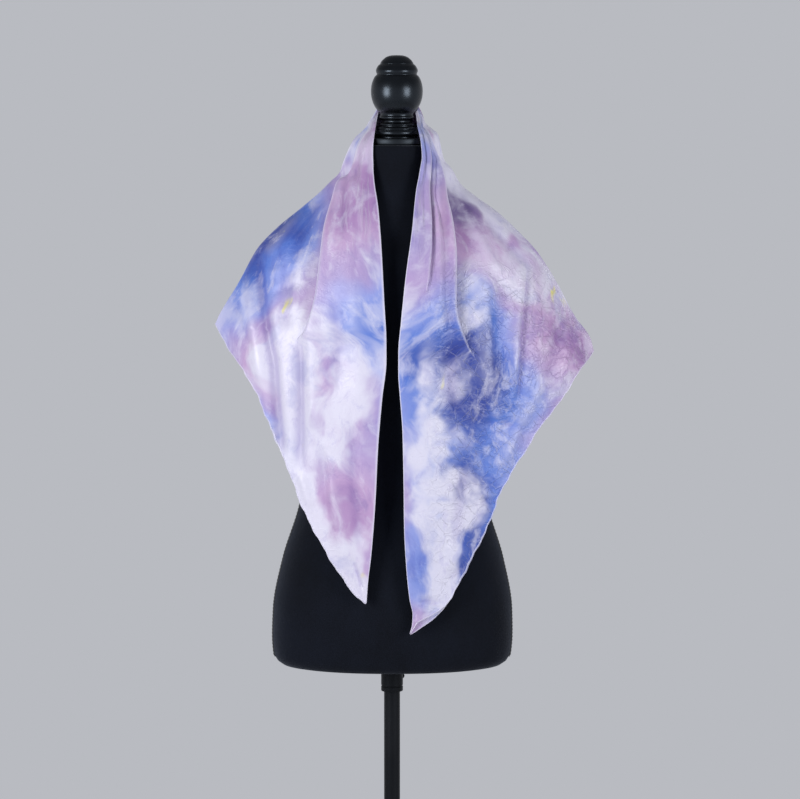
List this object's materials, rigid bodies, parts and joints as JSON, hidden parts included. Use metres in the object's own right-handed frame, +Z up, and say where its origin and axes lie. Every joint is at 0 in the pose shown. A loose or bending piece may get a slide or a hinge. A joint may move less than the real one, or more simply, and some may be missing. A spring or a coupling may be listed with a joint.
{
  "type": "silk square scarf on a limbless dress form",
  "caption": "Square silk scarf folded corner to corner and draped over the shoulders of a limbless dress form with a turned finial, on a height-adjustable pole stand with a round foot.",
  "frame": {"origin": "on the floor under the middle of the round foot, on the pole's axis", "axes": "+Z up along the pole; -Y is the front, where the scarf's two ends hang; +X is to the right of someone who looks at the front"},
  "size_m": [0.508, 0.35, 1.6149],
  "materials": {
    "silk": "satin",
    "jersey": "matte",
    "lacquer": "gloss",
    "stand_paint": "satin"
  },
  "bodies": {
    "stand": {"base_plate": "stand_paint", "pole": "stand_paint"},
    "carrier": {"height_collar": "stand_paint"},
    "clamp_screw": {"thumb_screw": "stand_paint"},
    "form": {"torso_form": "jersey", "neck_finial": "lacquer", "scarf_left_front": "silk", "scarf_right_front": "silk", "scarf_back": "silk"}
  },
  "joints": [
    {"name": "height_slide", "type": "slide", "parent": "stand", "child": "carrier", "axis": [0, 0, 1], "range_m": [-0.2, 0.08]},
    {"name": "form_swivel", "type": "hinge", "parent": "carrier", "child": "form", "pos_m": [0, 0, 0.7955], "axis": [0, 0, 1], "continuous": true},
    {"name": "clamp_turn", "type": "hinge", "parent": "carrier", "child": "clamp_screw", "pos_m": [0.012, 0.0143, 0.775], "axis": [0.6428, 0.766, 0], "range_deg": [0, 720]}
  ]
}
